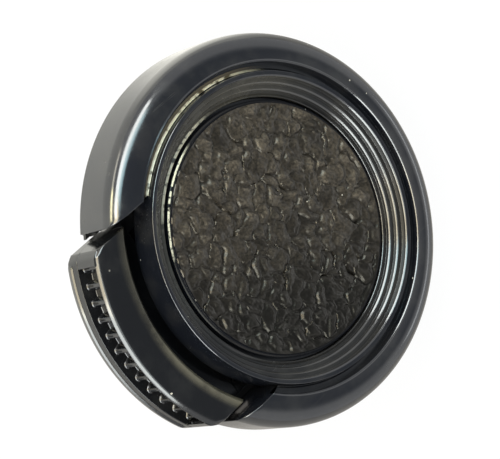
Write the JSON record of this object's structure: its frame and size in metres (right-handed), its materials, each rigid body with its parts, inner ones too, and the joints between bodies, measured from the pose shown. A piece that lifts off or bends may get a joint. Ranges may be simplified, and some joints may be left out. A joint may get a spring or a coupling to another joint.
{
  "type": "lens cap",
  "caption": "Round push-in lens cap with a rounded ring, a stepped recess around a grained centre disc, and a sprung finger tab that draws in a threaded jaw to release it from a filter thread.",
  "frame": {"origin": "centre of the spigot's free end, in the plane the cap lies on", "axes": "+Z out of the front face, -Y towards the finger tab, +X to the right of the tab seen from the front"},
  "size_m": [0.055, 0.0576, 0.0126],
  "materials": {
    "shell": "polished black moulding",
    "grain": "leather-grained moulding",
    "tab": "satin black moulding",
    "plate": "satin black moulding",
    "spring_wire": "drawn wire"
  },
  "bodies": {
    "cap_body": {"front_shell": "shell", "grain_disc": "grain", "back_plate": "plate", "spring_left": "spring_wire", "spring_right": "spring_wire"},
    "tab": {"release_tab": "tab"}
  },
  "joints": [
    {"name": "tab_press", "type": "slide", "parent": "cap_body", "child": "tab", "axis": [0, 1, 0], "range_m": [0, 0.0022], "stiffness_N_per_m": 800, "springref_m": -0.002, "deforming": ["spring_left", "spring_right"]}
  ]
}
